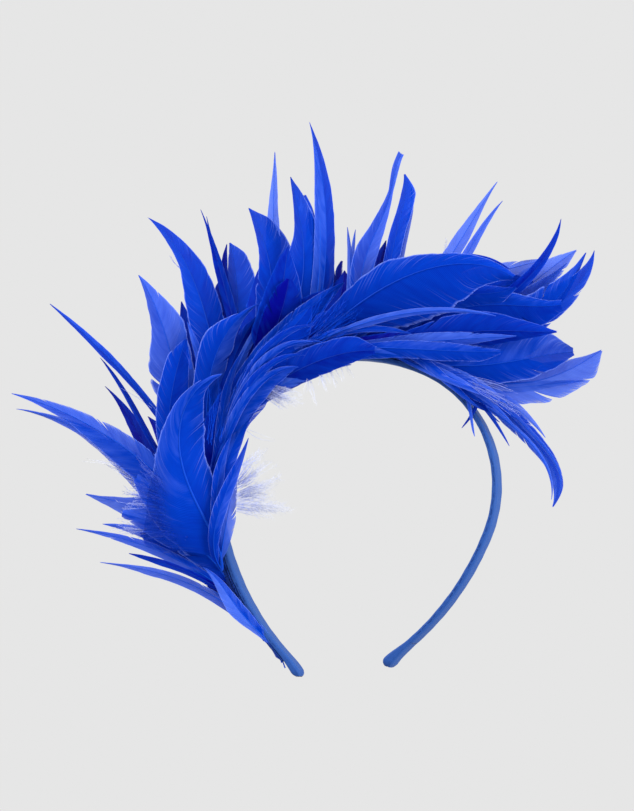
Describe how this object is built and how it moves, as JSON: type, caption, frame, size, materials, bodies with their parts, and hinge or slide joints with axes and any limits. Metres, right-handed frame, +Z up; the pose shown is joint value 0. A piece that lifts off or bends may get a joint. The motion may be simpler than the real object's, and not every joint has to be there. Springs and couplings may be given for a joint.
{
  "type": "feather fascinator on a head band",
  "caption": "Narrow satin-covered head band, open at the bottom, with a fused spray of royal blue feathers fanning over its crown and down one side.",
  "frame": {"origin": "the inner face of the band at its crown, where it sits on the head", "axes": "+Z up along the band's middle, +X to the right as the charted front shows it, +Y to the back; the band lies in the XZ plane"},
  "size_m": [0.2635, 0.0744, 0.238],
  "materials": {
    "satin": "ribbed satin ribbon, muted mid blue",
    "tape": "matt woven tape, stitched, navy",
    "feathers": "dyed feathers, royal blue, silky, see-through at the edges"
  },
  "bodies": {
    "root": {"satin_band": "satin", "tip_fold_left": "satin", "tip_fold_right": "satin", "quill_tape": "tape", "feather_crest": "feathers"}
  },
  "joints": []
}
